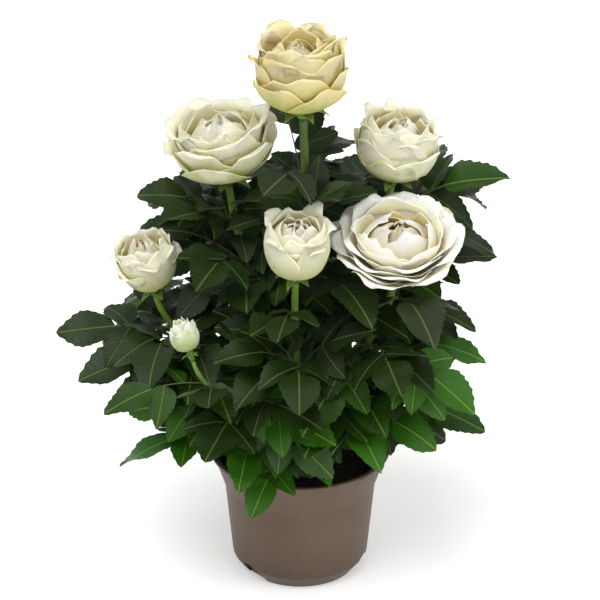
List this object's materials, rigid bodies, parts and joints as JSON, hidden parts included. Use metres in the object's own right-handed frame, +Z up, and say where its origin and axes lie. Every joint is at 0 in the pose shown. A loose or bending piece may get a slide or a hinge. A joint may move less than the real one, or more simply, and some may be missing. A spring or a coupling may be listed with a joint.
{
  "type": "rose bush",
  "caption": "White rose bush in its flared round plastic nursery pot: full blooms and a bud on green canes above dark compound leaves.",
  "frame": {"origin": "middle of the pot's flat underside, on the ground", "axes": "+Z up along the pot's axis, -Y towards the plant's show side, +X to the right seen from the show side"},
  "size_m": [0.3174, 0.2765, 0.4113],
  "materials": {
    "pot": "satin moulded polypropylene, taupe",
    "soil": "loose moist peat compost, near black",
    "cane": "smooth green rose bark with prickles",
    "calyx": "matt green hip and sepals",
    "petal": "soft velvety cream-white petals",
    "leaf": "semi-gloss dark green leaves, paler below"
  },
  "bodies": {
    "root": {"pot": "pot", "soil": "soil", "cane_top": "cane", "calyx_top": "calyx", "bloom_top": "petal", "cane_left": "cane", "calyx_left": "calyx", "bloom_left": "petal", "cane_right": "cane", "calyx_right": "calyx", "bloom_right": "petal", "cane_open": "cane", "calyx_open": "calyx", "bloom_open": "petal", "cane_centre": "cane", "calyx_centre": "calyx", "bloom_centre": "petal", "cane_side": "cane", "calyx_side": "calyx", "bloom_side": "petal", "cane_bud": "cane", "calyx_bud": "calyx", "bloom_bud": "petal", "leaves_crest": "leaf", "leaves_crest_front": "leaf", "leaves_left_top": "leaf", "leaves_left_high": "leaf", "leaves_left_back": "leaf", "leaves_right_top": "leaf", "leaves_right_high": "leaf", "leaves_right_back": "leaf", "leaves_right_mid": "leaf", "leaves_right_low": "leaf", "leaves_rim_right": "leaf", "leaves_front_high": "leaf", "leaves_front_right": "leaf", "leaves_front_mid": "leaf", "leaves_left_out": "leaf", "leaves_left_mid": "leaf", "leaves_left_low": "leaf", "leaves_rim_left": "leaf", "leaves_front_left": "leaf", "leaves_front_low": "leaf", "leaves_back_high": "leaf", "leaves_back_left": "leaf", "leaves_back_right": "leaf", "leaves_back_low": "leaf"}
  },
  "joints": []
}
